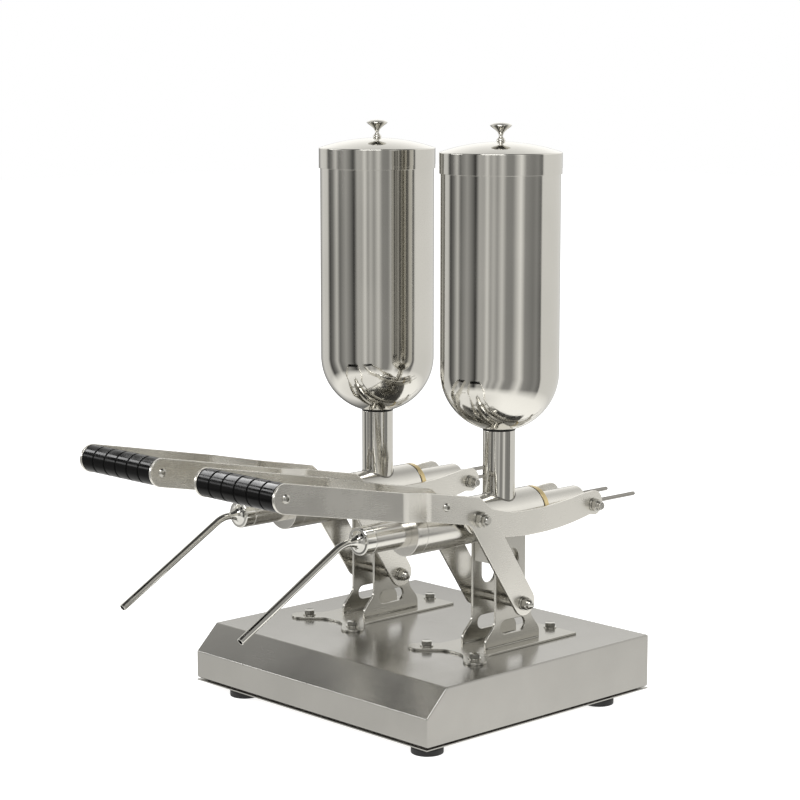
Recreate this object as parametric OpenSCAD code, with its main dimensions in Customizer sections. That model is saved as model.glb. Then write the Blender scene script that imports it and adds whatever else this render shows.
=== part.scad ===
// Twin-hopper donut filler: two lever-worked piston fillers on one sheet-metal base.
// Units are millimetres, +Z is up, the operator stands at -Y.
// Inside the modules Z = 0 is the underside of the base box and Y = 0 is its middle;
// place() moves every piece into the shared frame.

/* [Base box] */
// width of the base box, left to right
base_w = 440; // [400:480]
// depth of the base box, front to back
base_d = 404; // [360:440]
// height of the base box
base_h = 69.2; // [60:80]
// height of the upright front lip under the sloped front
lip_h = 36.1; // [25:50]
// how far back the sloped front runs
slope_d = 33.7; // [20:50]
// sheet thickness of the base
base_t = 2; // [1:0.5:3]
// height of the base box above the table
foot_h = 13; // [10:16]
// radius of the rubber feet
foot_r = 20; // [15:20]
// left and right places of the feet
foot_left = -145; // [-198:-120]
foot_right = 199; // [120:199]
// front and back places of the feet
foot_front = -181; // [-181:-120]
foot_back = 128; // [100:180]
// shadow gap between the base box and its bottom pan
pan_gap = 2; // [1:0.5:3]
// sheet thickness of the bottom pan
pan_t = 1.4; // [1:0.2:2]

/* [Layout] */
// distance of each filler from the middle of the base
unit_x = 113.8; // [100:125]
// front-to-back place of the hopper axis
hop_y = 28; // [20:40]
// height of the barrel axis above the base underside
ax_z = 238; // [230:246]
// shift that centres the whole machine front to back
place_y = 71.5; // [60:80]

/* [Stand] */
// thickness of the foot plate
fp_t = 3; // [2:5]
// outer faces of the stand side plates, from the filler's middle
st_x = 22.5; // [20:26]
// thickness of the stand side plates
st_t = 4; // [3:5]
// front-to-back place of the main lever pivot
p0_y = 28; // [20:36]
// height of the main lever pivot
p0_z = 129.5; // [120:140]
// front edge of the stand plates
st_front = 1.2; // [-2:4]
// back edge of the stand plates
st_back = 55; // [52:58]
// height at which the stand plates begin to flare
flare_z = 106; // [100:115]

/* [Barrel] */
// outside radius of the barrel
bar_r = 29.5; // [26:34]
// back end of the barrel, where the gasket and the gland ring sit
bar_end = 83.4; // [80:88]
// radius of the plunger
plu_r = 19; // [15:22]
// running clearance of plunger, pivots and guides
fit = 0.06; // [0.02:0.01:0.09]
// outside radius of the throat tube
thr_r = 20.75; // [18:24]
// bore radius of the throat tube
thr_b = 18.75; // [15:20]
// radius of the outlet sleeve
slv_r = 17.6; // [15:20]
// front face of the barrel's front cap
cap_y = -142; // [-146:-138]
// front face of the nozzle cap
tip_y = -215.5; // [-220:-210]

/* [Filling tube] */
// outside radius of the filling tube
noz_r = 4.5; // [3.5:0.5:6]
// bore radius of the filling tube
noz_b = 3.5; // [2.5:0.5:5]
// how far the filling tube bends down, in degrees
noz_a = 30; // [20:40]
// radius of that bend
noz_R = 38; // [25:50]
// front-to-back place where the bend starts
noz_y = -231; // [-240:-225]
// straight length after the bend
noz_L = 173; // [150:190]

/* [Hopper] */
// outside radius of the hopper
hop_r = 75.5; // [70:80]
// wall thickness of the hopper
hop_t = 1.2; // [0.8:0.1:2]
// height of the centre of the round hopper bottom
hop_c = 420; // [410:430]
// height of the hopper rim
hop_top = 696.3; // [690:0.1:696.4]
// outside radius of the lid skirt
lid_r = 77.2; // [75:80]
// height of the lower edge of the lid skirt
lid_low = 672.3; // [665:680]
// height of the top edge of the lid skirt
lid_edge = 699; // [694:704]
// height of the middle of the domed lid
lid_top = 712; // [705:720]
// height of the knob above the lid
knob_h = 24; // [20:30]

/* [Lever] */
// thickness of the lever plates
lev_t = 4; // [3:6]
// inner faces of the lever plates beside the barrel
lev_x = 41.5; // [40:46]
// inner faces of the lever plates beside the grip
grip_x = 68.5; // [60:75]
// fall of the straight arm from the grip to the heel, per unit of length
arm_s = 0.19; // [0.17:0.01:0.21]
// front-to-back place of the grip axis
g_y = -390.4; // [-400:-380]
// height of the grip axis
g_z = 323.5; // [315:335]
// radius of the plate ends at the grip
end_r = 17.6; // [15:20]
// radius of the rubber grip
grip_r = 17; // [14:20]
// front-to-back place of the front link pin
p1_y = -53; // [-60:-45]
// height of the front link pin
p1_z = 249.5; // [245:255]
// front-to-back place of the stop bar
bar_y = -110; // [-120:-100]
// height of the stop bar
bar_z = 271.9; // [268:276]
// front-to-back place of the cross pin in the plunger
p2_y = 165; // [160:166]

/* [Links] */
// inner faces of the links
lnk_x = 36.6; // [35:37]
// radius of the link's rear end
lnk_r = 16.5; // [15:0.5:18]
// clearance hole radius around the front link pin
p1_hole = 9; // [9:10]
// radius of the cross pin inside the plunger
cross_r = 6.5; // [6:7]

/* [Hidden] */
$fn = 64;
steel = [0.80, 0.79, 0.76];
polish = [0.88, 0.89, 0.90];
black = [0.05, 0.05, 0.05];
gold = [0.78, 0.62, 0.28];

// ---------- helpers ----------
module place() { translate([0, place_y, foot_h]) children(); }
module unit(s) { place() translate([s * unit_x, 0, 0]) children(); }
// holes in each foot plate, from the filler's middle
bolt_spots = [[-43, -58], [43, -58], [0, 127]];
// a cylinder along X, from x = a to x = b
module xcyl(r, a, b) { translate([a, 0, 0]) rotate([0, 90, 0]) cylinder(r = r, h = b - a); }
// a cylinder along Y, from y = a to y = b
module ycyl(r, a, b) { translate([0, b, 0]) rotate([90, 0, 0]) cylinder(r = r, h = b - a); }
// a hexagon bar along X, size across flats af
module xhex(af, a, b) {
  translate([a, 0, 0]) rotate([0, 90, 0]) cylinder(r = af / sqrt(3), h = b - a, $fn = 6);
}
// a low dome along X that starts at x = a, with radius r and height h
module xdome(r, a, h) {
  n = 6;
  side = [for (i = [0 : n]) [r * cos(90 * i / n), h * sin(90 * i / n)]];
  translate([a, 0, 0]) rotate([0, 90, 0]) rotate_extrude() polygon(concat([[0, 0]], side));
}
// a flat outline in Y and Z, made solid from x = a to x = b
module yz(a, b) { translate([a, 0, 0]) rotate([90, 0, 90]) linear_extrude(height = b - a) children(); }
// points along an arc from angle a to angle b
function arc(c, r, a, b, n) = [for (i = [0 : n])
  c + r * [cos(a + (b - a) * i / n), sin(a + (b - a) * i / n)]];
// a straight bar with round ends between two points
module capsule(p, q, r) {
  d = q - p;
  L = norm(d);
  translate(p) circle(r = r);
  translate(q) circle(r = r);
  translate(p) rotate(atan2(d[1], d[0])) translate([0, -r]) square([L, 2 * r]);
}

// ---------- base ----------
module base_outline(t) {
  k = t * tan(22.5);
  low = t == 0 ? 0 : -1;
  edge = base_d / 2 - t;
  polygon([[-edge, low], [-edge, lip_h - k], [-base_d / 2 + slope_d + k, base_h - t], [edge, base_h - t],
    [edge, low]]);
}
module foot_bolt_spots() {
  for (s = [-1, 1]) for (p = bolt_spots) translate([s * unit_x + p[0], p[1], 0]) children();
}
module foot_spots() {
  for (x = [foot_left, foot_right]) for (y = [foot_front, foot_back]) translate([x, y, 0]) children();
}
module base_shell() {
  color(steel) place() {
    difference() {
      yz(-base_w / 2, base_w / 2) base_outline(0);
      yz(-base_w / 2 + base_t, base_w / 2 - base_t) base_outline(base_t);
      foot_bolt_spots() translate([0, 0, base_h - 10]) cylinder(r = 4.3, h = 20);
    }
    // flange turned in along the lower edge
    frame_of(base_w - base_t, base_d - base_t, 16, 0, base_t);
  }
}
// a flat rectangular ring, w by d outside and b wide, from z0 to z0 + h
module frame_of(w, d, b, z0, h) {
  difference() {
    translate([-w / 2, -d / 2, z0]) cube([w, d, h]);
    translate([b - w / 2, b - d / 2, z0 - 1]) cube([w - 2 * b, d - 2 * b, h + 2]);
  }
}
module base_pan() {
  color(steel) place() difference() {
    union() {
      translate([-base_w / 2, -base_d / 2, -pan_gap - pan_t]) cube([base_w, base_d, pan_t]);
      // raised bead that carries the base box
      frame_of(base_w - 20, base_d - 20, 6, -pan_gap, pan_gap);
    }
    foot_spots() translate([0, 0, -10]) cylinder(r = 4, h = 20);
  }
}
module feet() {
  r = 3;
  color(black) place() foot_spots() {
    translate([0, 0, r - foot_h]) cylinder(r = foot_r, h = foot_h - pan_gap - pan_t - r);
    translate([0, 0, r - foot_h]) rotate_extrude() translate([foot_r - r, 0]) circle(r = r);
    translate([0, 0, -foot_h]) cylinder(r = foot_r - r, h = r);
    translate([0, 0, -pan_gap - pan_t]) cylinder(r = 4, h = 7);
  }
}
module foot_bolts() {
  color(polish) place() foot_bolt_spots() translate([0, 0, base_h + fp_t]) {
    cylinder(r = 8.5, h = 1.6);
    translate([0, 0, 1.6]) cylinder(r = 13 / sqrt(3), h = 5.4, $fn = 6);
    translate([0, 0, -16]) cylinder(r = 4, h = 17);
    translate([0, 0, -fp_t - base_t - 6.5]) cylinder(r = 13 / sqrt(3), h = 6.5, $fn = 6);
  }
}

// ---------- stand ----------
// a long plate with a slanted round ear at each front corner
module foot_plate(s) {
  w = 41;
  front = -52;
  back = 133;
  ear = [50, -64];
  r = 15;
  // inside rounding where an ear leaves the long side and the front edge
  f = 25;
  side_y = (f + r) * sqrt(2) - w - f + ear[0] + ear[1];
  in_x = ear[0] + ear[1] - (f + r) * sqrt(2) - front + f;
  color(steel) unit(s) translate([0, 0, base_h]) difference() {
    linear_extrude(height = fp_t) polygon(concat(
      [[w, back], [-w, back]],
      arc([-w - f, side_y], f, 0, -45, 6),
      arc([-ear[0], ear[1]], r, 135, 315, 16),
      arc([-in_x, front - f], f, 135, 90, 6),
      arc([in_x, front - f], f, 90, 45, 6),
      arc(ear, r, 225, 405, 16),
      arc([w + f, side_y], f, 225, 180, 6)));
    for (p = bolt_spots) translate([p[0], p[1], -1]) cylinder(r = 4.3, h = 6);
  }
}
// a smooth S from point p to point q, upright at both ends
function s_curve(p, q, n = 12) = [for (i = [0 : n])
  [p[0] + (q[0] - p[0]) * (1 - cos(180 * i / n)) / 2, p[1] + (q[1] - p[1]) * i / n]];
module stand_outline() {
  low = base_h + fp_t;
  difference() {
    polygon(concat(
      [[st_front, 226]],
      s_curve([st_front, flare_z], [st_front - 18, low + 6]),
      [[st_front - 18, low], [st_back + 27, low]],
      s_curve([st_back + 27, low + 8], [st_back + 11, flare_z + 4]),
      s_curve([st_back + 11, flare_z + 10], [st_back, 158]),
      [[st_back, 226]]));
    // upright adjusting slot
    capsule([p0_y + 2, 158], [p0_y + 2, 184.5], 12.5);
    // window above the foot plate
    capsule([p0_y - 9, 95.4], [p0_y + 18, 95.4], 9);
    // main pivot
    translate([p0_y, p0_z]) circle(r = 5.05);
  }
}
module stand_plate(s, k) {
  color(steel) unit(s) difference() {
    yz(k > 0 ? st_x - st_t : -st_x, k > 0 ? st_x : st_t - st_x) stand_outline();
    translate([0, 0, ax_z]) ycyl(bar_r, -60, 120);
  }
}
module saddle_block(s) {
  color(steel) unit(s) difference() {
    translate([st_t - st_x, 3, 178.5]) cube([2 * (st_x - st_t), 50, 46]);
    translate([0, 0, ax_z]) ycyl(bar_r, -10, 70);
  }
}
module pivot_shaft(s) {
  color(polish) unit(s) translate([0, p0_y, p0_z]) {
    xcyl(6.75, st_t - st_x, st_x - st_t);
    xcyl(5, -59, 59);
  }
}
module pivot_ends() {
  for (s = [-1, 1]) unit(s) translate([0, p0_y, p0_z]) for (k = [0, 180]) rotate([0, k, 0]) children();
}
module pivot_spacers() {
  color(polish) pivot_ends() difference() {
    xcyl(8, st_x, lev_x - 0.4);
    xcyl(5.02, st_x - 1, lev_x);
  }
}
module pivot_nuts() {
  color(polish) pivot_ends() difference() {
    union() {
      xcyl(9, 46, 47.6);
      xhex(14, 47.6, 54.6);
      xdome(6.6, 54.6, 7.5);
    }
    xcyl(5.02, 45, 59.3);
  }
}

// ---------- barrel group ----------
module rod_spots() { for (k = [-1, 1]) translate([k * 24.2, 0, ax_z]) children(); }
module barrel(s) {
  color(polish) unit(s) difference() {
    translate([0, 0, ax_z]) ycyl(bar_r, cap_y + 17, bar_end);
    translate([0, 0, ax_z]) ycyl(plu_r + fit, cap_y + 16, bar_end + 1);
    translate([0, hop_y, ax_z]) cylinder(r = thr_b, h = 40);
    rod_spots() ycyl(2.75, 65, 86);
  }
}
module throat(s) {
  color(polish) unit(s) translate([0, hop_y, 0]) difference() {
    translate([0, 0, ax_z]) cylinder(r = thr_r, h = hop_c - ax_z - 60);
    translate([0, 0, ax_z - 1]) cylinder(r = thr_b, h = 200);
    translate([0, 0, ax_z]) ycyl(bar_r, -40, 40);
    translate([0, 0, hop_c]) sphere(r = hop_r);
  }
}
module front_cap(s) {
  color(polish) unit(s) translate([0, 0, ax_z]) difference() {
    ycyl(bar_r, cap_y, cap_y + 17);
    ycyl(plu_r + fit, cap_y + 10, cap_y + 18);
    ycyl(12, cap_y - 1, cap_y + 11);
  }
}
module outlet_sleeve(s) {
  color(polish) unit(s) translate([0, 0, ax_z]) difference() {
    ycyl(slv_r, tip_y + 16, cap_y);
    ycyl(12, tip_y + 15, cap_y + 1);
  }
}
// the filling tube runs straight out, bends down, then runs straight to its tip
module nozzle_run(r, extra) {
  // the straight runs reach a little into the bend, which is a hair thicker
  dip = 0.5;
  ycyl(r, noz_y - dip, tip_y + 6 + extra);
  translate([0, noz_y, -noz_R]) rotate([90, 0, -90]) rotate(90 - noz_a)
    rotate_extrude(angle = noz_a) translate([noz_R, 0]) circle(r = r + 0.03);
  translate([0, noz_y - noz_R * sin(noz_a), -noz_R + noz_R * cos(noz_a)]) rotate([90 + noz_a, 0, 0])
    translate([0, 0, -dip]) cylinder(r = r, h = noz_L + dip + extra);
}
module nozzle(s) {
  color(polish) unit(s) translate([0, 0, ax_z]) difference() {
    union() {
      ycyl(slv_r, tip_y + 1, tip_y + 16);
      // rounded rim, then a trumpet that runs out into the tube
      translate([0, tip_y + 1, 0]) rotate([90, 0, 0]) rotate_extrude() polygon([[0, 0], [slv_r, 0],
        [slv_r - 0.3, 0.7], [slv_r - 1, 1], [13.2, 1], [10.8, 2.2], [8.7, 3.8], [7, 6.5], [5.6, 10],
        [4.8, 13.5], [noz_r + 0.05, 15.6], [0, 15.6]]);
      nozzle_run(noz_r, 0);
    }
    nozzle_run(noz_b, 3);
    ycyl(12, tip_y + 8, tip_y + 17);
  }
}
// a ring around the plunger, pierced by the two guide rods, from y = a to y = b
module end_ring(r, a, b) {
  difference() {
    translate([0, 0, ax_z]) ycyl(r, a, b);
    translate([0, 0, ax_z]) ycyl(plu_r + fit, a - 1, b + 1);
    rod_spots() ycyl(2.75, a - 1, b + 1);
  }
}
module gaskets() { color(black) for (s = [-1, 1]) unit(s) end_ring(bar_r - 0.3, bar_end, bar_end + 1.6); }
module gland_ring(s) { color(gold) unit(s) end_ring(bar_r, bar_end + 1.6, bar_end + 9.3); }
module guide_rods() { color(polish) for (s = [-1, 1]) unit(s) rod_spots() ycyl(2.75, 65, 265); }

// ---------- hopper ----------
module bowl(r, top) {
  translate([0, 0, hop_c]) cylinder(r = r, h = top - hop_c);
  translate([0, 0, hop_c]) sphere(r = r);
}
module hopper(s) {
  color(polish) unit(s) translate([0, hop_y, 0]) difference() {
    bowl(hop_r, hop_top);
    bowl(hop_r - hop_t, hop_top + 5);
    translate([0, 0, hop_c - 100]) cylinder(r = thr_b, h = 60);
  }
}
module dome(r, edge, top) {
  R = (r * r + (top - edge) * (top - edge)) / (2 * (top - edge));
  intersection() {
    translate([0, 0, lid_low - 5]) cylinder(r = r, h = 60);
    translate([0, 0, top - R]) sphere(r = R);
  }
}
module lid(s) {
  color(polish) unit(s) translate([0, hop_y, 0]) difference() {
    intersection() {
      dome(lid_r, lid_edge, lid_top);
      translate([0, 0, lid_low]) cylinder(r = 90, h = 60);
    }
    translate([0, 0, -1.3]) dome(lid_r - 1.3, lid_edge, lid_top);
    translate([0, 0, lid_top - 10]) cylinder(r = 2.5, h = 20);
  }
}
module knob(s) {
  h = knob_h;
  color(polish) unit(s) translate([0, hop_y, lid_top]) rotate_extrude() polygon([
    // stud, foot and bead
    [0, -5.3], [2.5, -5.3], [2.5, 0], [4.6, 0], [5.4, 0.9], [5.6, 2.1], [5.2, 3.4], [4, 4.5], [3, 5.8],
    // neck
    [2.7, 7.5], [3, 9.5], [4.4, h - 12], [7.6, h - 9], [11.4, h - 6.3],
    // rim and top
    [13.3, h - 4.7], [13.9, h - 3.7], [13.5, h - 2.8], [9.5, h - 1.1], [4, h - 0.2], [0, h]]);
}

// ---------- lever ----------
// the straight arm rises to the grip; the leg runs down to the main pivot
function arm_top(y) = 293.2 - arm_s * (y + 138.6);
function arm_low(y) = 257.2 - arm_s * (y + 138.6);
module lever_outline() {
  tilt = atan(arm_s);
  leg_top = [p1_y + 3, p1_z - 0.3];
  leg_end = [p0_y + 2, p0_z + 1.2];
  leg_r = 18.2;
  leg_n = 90 + atan2(leg_end[1] - leg_top[1], leg_end[0] - leg_top[0]);
  difference() {
    polygon(concat(
      arc([g_y, g_z], end_r, 90 - tilt, 270 - tilt, 24),
      // inside corner between arm and leg
      arc([p1_y - 26.1, p1_z - 21.9], 18, 90 - tilt, leg_n, 8),
      arc(leg_end, leg_r, 180 + leg_n, 360 + leg_n, 24),
      // bevelled heel behind the front link pin
      [[p1_y + 29, p1_z - 3.5], [p1_y + 24.5, p1_z + 8.5], [p1_y + 1, arm_top(p1_y + 1)]]));
    translate([p1_y, p1_z]) circle(r = 5.05);
    translate([p0_y, p0_z]) circle(r = 5 + fit);
    translate([g_y, g_z]) circle(r = 3.05);
    translate([bar_y, bar_z]) circle(r = 3.05);
  }
}
// the plate's path seen from above: beside the barrel, a joggle, then beside the grip
module joggle(a, b) {
  polygon([[a, 80], [a, -142], [b, -203], [b, -430],
    [b + lev_t, -430], [b + lev_t, -202.2], [a + lev_t, -141.2], [a + lev_t, 80]]);
}
module lever_plate(s, k) {
  color(steel) unit(s) mirror([k > 0 ? 0 : 1, 0, 0]) intersection() {
    yz(30, 90) lever_outline();
    translate([0, 0, 100]) linear_extrude(height = 260) joggle(lev_x, grip_x);
  }
}
module grip(s) {
  n = 6;
  w = 2 * (grip_x - 0.2) / n;
  color(black) unit(s) translate([0, g_y, g_z]) difference() {
    union() {
      xcyl(grip_r - 1, -grip_x, grip_x);
      for (i = [0 : n - 1]) translate([0.2 - grip_x + i * w, 0, 0]) xcyl(grip_r, 0.7, w - 0.7);
    }
    xcyl(8, -grip_x - 1, grip_x + 1);
  }
}
module grip_tube(s) {
  color(steel) unit(s) translate([0, g_y, g_z]) difference() {
    xcyl(8, -grip_x, grip_x);
    xcyl(3.05, -grip_x - 1, grip_x + 1);
  }
}
module stop_bar(s) {
  color(steel) unit(s) translate([0, bar_y, bar_z]) difference() {
    xcyl(4, -lev_x, lev_x);
    for (k = [0, 180]) rotate([0, k, 0]) xcyl(3.05, 20, lev_x + 1);
  }
}
module button_screw(x) {
  xcyl(3, x - 18, x);
  difference() {
    xdome(5.6, x, 3.2);
    xhex(4, x + 1.4, x + 6);
  }
}
module lever_screws(s) {
  color(polish) unit(s) for (k = [0, 180]) {
    translate([0, g_y, g_z]) rotate([0, k, 0]) button_screw(grip_x + lev_t);
    translate([0, bar_y, bar_z]) rotate([0, k, 0]) button_screw(lev_x + lev_t);
  }
}
module link_bolts(s) {
  color(polish) unit(s) translate([0, p1_y, p1_z]) for (k = [0, 180]) rotate([0, k, 0]) {
    // head and wide washer between link and barrel
    xhex(16, 31.4, 34.8);
    xcyl(13, 34.8, 36.2);
    xcyl(5, 36.2, 62);
    xcyl(11, lev_x + lev_t, 47);
    xhex(17, 47, 55);
    xhex(13, 55, 60);
  }
}

// ---------- plunger and links ----------
module plunger(s) {
  color(polish) unit(s) difference() {
    translate([0, 0, ax_z]) {
      ycyl(plu_r, -27, p2_y + 8.5);
      translate([0, p2_y + 10, 0]) rotate([90, 0, 0]) cylinder(r1 = plu_r - 1.5, r2 = plu_r, h = 1.5);
    }
    translate([0, p2_y, ax_z]) xcyl(cross_r, -30, 30);
  }
}
module crosshead(s) {
  color(polish) unit(s) difference() {
    translate([0, p2_y, ax_z]) {
      xcyl(cross_r, -36.2, 36.2);
      xcyl(5, -55, 55);
    }
    rod_spots() ycyl(2.75 + fit, p2_y - 20, p2_y + 20);
  }
}
module rear_nuts(s) {
  color(polish) unit(s) translate([0, p2_y, ax_z]) for (k = [0, 180]) rotate([0, k, 0]) difference() {
    union() {
      xcyl(9, lnk_x + lev_t + 0.4, 42.6);
      xhex(14, 42.6, 50);
      xcyl(6.4, 50, 52.5);
    }
    xcyl(5.02, 40, 56);
  }
}
// angle at which a circle's lower side reaches front-to-back place y
function sag(c, r, y) = 270 + asin((y - c[0]) / r);
module link_outline() {
  rear = [p2_y + 0.5, ax_z + 2];
  low_c = [57, 683];
  low_r = 468.2;
  top_c = [53, 812.8];
  top_r = 565.4;
  difference() {
    // a bar that sags between its two round ends
    polygon(concat(
      arc([p1_y, p1_z], lnk_r + 3.5, 55, 256, 24),
      arc(low_c, low_r, sag(low_c, low_r, p1_y + 3), sag(low_c, low_r, p2_y - 8), 20),
      arc(rear, lnk_r, -77, 95, 20),
      arc(top_c, top_r, sag(top_c, top_r, p2_y - 17), sag(top_c, top_r, 12), 14),
      [[p1_y + 45, p1_z + 4], [p1_y + 27, p1_z + 8.8]]));
    translate([p1_y, p1_z]) circle(r = p1_hole);
    translate([p2_y, ax_z]) circle(r = 5 + fit);
  }
}
module link(s, k) {
  color(steel) unit(s) mirror([k > 0 ? 0 : 1, 0, 0]) yz(lnk_x, lnk_x + lev_t) link_outline();
}

base_shell();
base_pan();
feet();
foot_bolts();
pivot_nuts();
pivot_spacers();
guide_rods();
gaskets();
foot_plate(1);  // foot_plate_right
stand_plate(1, 1);  // stand_plate_outer_right
stand_plate(1, -1);  // stand_plate_inner_right
saddle_block(1);  // saddle_block_right
pivot_shaft(1);  // pivot_shaft_right
barrel(1);  // barrel_right
throat(1);  // throat_right
front_cap(1);  // front_cap_right
outlet_sleeve(1);  // outlet_sleeve_right
nozzle(1);  // nozzle_right
gland_ring(1);  // gland_ring_right
hopper(1);  // hopper_right
lid(1);  // lid_right
knob(1);  // knob_right
lever_plate(1, 1);  // lever_plate_outer_right
lever_plate(1, -1);  // lever_plate_inner_right
grip(1);  // grip_right
grip_tube(1);  // grip_tube_right
stop_bar(1);  // stop_bar_right
lever_screws(1);  // lever_screws_right
link_bolts(1);  // link_bolts_right
plunger(1);  // plunger_right
crosshead(1);  // crosshead_right
rear_nuts(1);  // rear_nuts_right
link(1, 1);  // link_outer_right
link(1, -1);  // link_inner_right
foot_plate(-1);  // foot_plate_left
stand_plate(-1, 1);  // stand_plate_outer_left
stand_plate(-1, -1);  // stand_plate_inner_left
saddle_block(-1);  // saddle_block_left
pivot_shaft(-1);  // pivot_shaft_left
barrel(-1);  // barrel_left
throat(-1);  // throat_left
front_cap(-1);  // front_cap_left
outlet_sleeve(-1);  // outlet_sleeve_left
nozzle(-1);  // nozzle_left
gland_ring(-1);  // gland_ring_left
hopper(-1);  // hopper_left
lid(-1);  // lid_left
knob(-1);  // knob_left
lever_plate(-1, 1);  // lever_plate_outer_left
lever_plate(-1, -1);  // lever_plate_inner_left
grip(-1);  // grip_left
grip_tube(-1);  // grip_tube_left
stop_bar(-1);  // stop_bar_left
lever_screws(-1);  // lever_screws_left
link_bolts(-1);  // link_bolts_left
plunger(-1);  // plunger_left
crosshead(-1);  // crosshead_left
rear_nuts(-1);  // rear_nuts_left
link(-1, 1);  // link_outer_left
link(-1, -1);  // link_inner_left
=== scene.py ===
# %% [markdown]
# # A donut filler with two hoppers
#
# The real machine is a bench tool for a bakery. Two identical fillers stand side
# by side on one sheet-metal base. In each, a long lever with a black grip pushes a
# plunger through a polished barrel, and the filling leaves by a bent tube.
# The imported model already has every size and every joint, so this lesson only
# dresses it. Most parts are turned or cut once more with softened edges, because
# a real edge is never perfectly sharp and always catches a line of light.

# %% Load the machine
import math

import bmesh
import bpy
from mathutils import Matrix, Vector
from mathutils.geometry import tessellate_polygon


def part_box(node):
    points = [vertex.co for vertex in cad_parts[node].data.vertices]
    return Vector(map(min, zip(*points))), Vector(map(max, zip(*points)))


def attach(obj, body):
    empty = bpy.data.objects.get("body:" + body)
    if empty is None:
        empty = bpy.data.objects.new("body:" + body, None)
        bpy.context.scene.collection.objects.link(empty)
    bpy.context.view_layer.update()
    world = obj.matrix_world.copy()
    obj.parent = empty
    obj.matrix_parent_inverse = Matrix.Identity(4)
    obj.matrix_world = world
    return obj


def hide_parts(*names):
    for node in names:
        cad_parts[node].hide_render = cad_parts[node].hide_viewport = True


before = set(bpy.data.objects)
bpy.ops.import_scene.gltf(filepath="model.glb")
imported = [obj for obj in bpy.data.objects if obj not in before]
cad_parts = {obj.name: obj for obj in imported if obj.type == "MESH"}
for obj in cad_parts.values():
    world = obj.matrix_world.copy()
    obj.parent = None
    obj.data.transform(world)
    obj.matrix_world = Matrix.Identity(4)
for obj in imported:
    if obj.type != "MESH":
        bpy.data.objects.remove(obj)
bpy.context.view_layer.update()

MM = 0.001
X, Y, Z = Vector((1, 0, 0)), Vector((0, 1, 0)), Vector((0, 0, 1))
SIDES = ("right", "left")

# %% [markdown]
# ## The camera
#
# The machine is seen from the front right and from a little above. A long lens
# keeps the hoppers upright and nearly the same size, as a product picture does.
# The camera could be aimed with a constraint, but a direction worked out from
# two angles is easier to read and to change.

# %% Camera
view_turn = math.radians(46.6)
view_rise = math.radians(8.41)
camera_place = (2.0660, -1.9202, 0.8137)
lens_length = 100.48
toward_camera = Vector((
    math.sin(view_turn) * math.cos(view_rise),
    -math.cos(view_turn) * math.cos(view_rise),
    math.sin(view_rise)))
lens = bpy.data.cameras.new("long lens")
lens.lens = lens_length
lens.sensor_width = 36
camera = bpy.data.objects.new("camera", lens)
camera.location = camera_place
camera.rotation_mode = "QUATERNION"
camera.rotation_quaternion = (-toward_camera).to_track_quat("-Z", "Y")
bpy.context.scene.collection.objects.link(camera)
bpy.context.scene.camera = camera
bpy.context.scene.view_settings.view_transform = "Standard"
print("camera", round(camera.location.length, 2), "m from the origin")

# %% [markdown]
# ## Small helpers for node materials
#
# Every finish below is a short chain of shader nodes. Making each node takes
# three or four lines, so one helper adds a node, sets its values and joins its
# inputs. Reading a material is then like reading a recipe.

# %% Node helper
def add_node(tree, kind, inputs=None, **settings):
    """A new node. An input is a plain value, another node, or one of its sockets."""
    node = tree.nodes.new("ShaderNode" + kind)
    for key, value in settings.items():
        setattr(node, key, value)
    for key, value in (inputs or {}).items():
        if isinstance(value, bpy.types.Node):
            value = value.outputs[0]
        if isinstance(value, bpy.types.NodeSocket):
            tree.links.new(value, node.inputs[key])
        else:
            node.inputs[key].default_value = value
    return node


def new_tree(material):
    material.use_nodes = True
    material.node_tree.nodes.clear()
    return material.node_tree


def seen_directly(tree):
    """1 for what the camera sees, also in a mirror or through glass, else 0."""
    path = add_node(tree, "LightPath")
    either = add_node(tree, "Math", {
        0: path.outputs["Is Camera Ray"], 1: path.outputs["Is Glossy Ray"]}, operation="MAXIMUM")
    seen = add_node(tree, "Math", {
        0: either, 1: path.outputs["Is Transmission Ray"]}, operation="MAXIMUM")
    return seen.outputs[0]


print("node helpers ready")

# %% [markdown]
# ## The studio
#
# Polished steel has no colour of its own: it shows the room. A picture of it is
# made by placing cards around it. Here the floor and the sky are white, and a
# screen of grey cards stands round the machine, with a foot that lies on the
# floor. The cards give the hoppers their upright light and dark stripes.
# The screen is a real object, but the camera looks through it, so that the
# machine can be seen from every side. The stripes were placed to suit the one
# camera above, so from other sides the steel shows other stripes.

# %% White floor and sky
paper_white = 0.82
floor_glow = 0.75
sky_on_machine = 0.62


def white_floor():
    size = 12
    mesh = bpy.data.meshes.new("floor")
    corners = [(-size, -size, 0), (size, -size, 0), (size, size, 0), (-size, size, 0)]
    mesh.from_pydata(corners, [], [(0, 1, 2, 3)])
    floor = bpy.data.objects.new("floor", mesh)
    bpy.context.scene.collection.objects.link(floor)
    material = bpy.data.materials.new("white floor")
    tree = new_tree(material)
    paper = add_node(tree, "BsdfDiffuse", {"Color": (paper_white, paper_white, paper_white, 1)})
    lift = add_node(tree, "Math", {0: seen_directly(tree), 1: floor_glow}, operation="MULTIPLY")
    glow = add_node(tree, "Emission", {"Color": (1, 1, 1, 1), "Strength": lift})
    both = add_node(tree, "AddShader", {0: paper, 1: glow})
    add_node(tree, "OutputMaterial", {"Surface": both})
    mesh.materials.append(material)


def white_sky():
    world = bpy.data.worlds.new("soft studio")
    bpy.context.scene.world = world
    tree = new_tree(world)
    strength = add_node(tree, "MapRange", {0: seen_directly(tree), 3: sky_on_machine, 4: 1.0})
    sky = add_node(tree, "Background", {"Color": (1, 1, 1, 1), "Strength": strength})
    add_node(tree, "OutputWorld", {"Surface": sky})


white_floor()
white_sky()
print("floor and sky are white")

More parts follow.
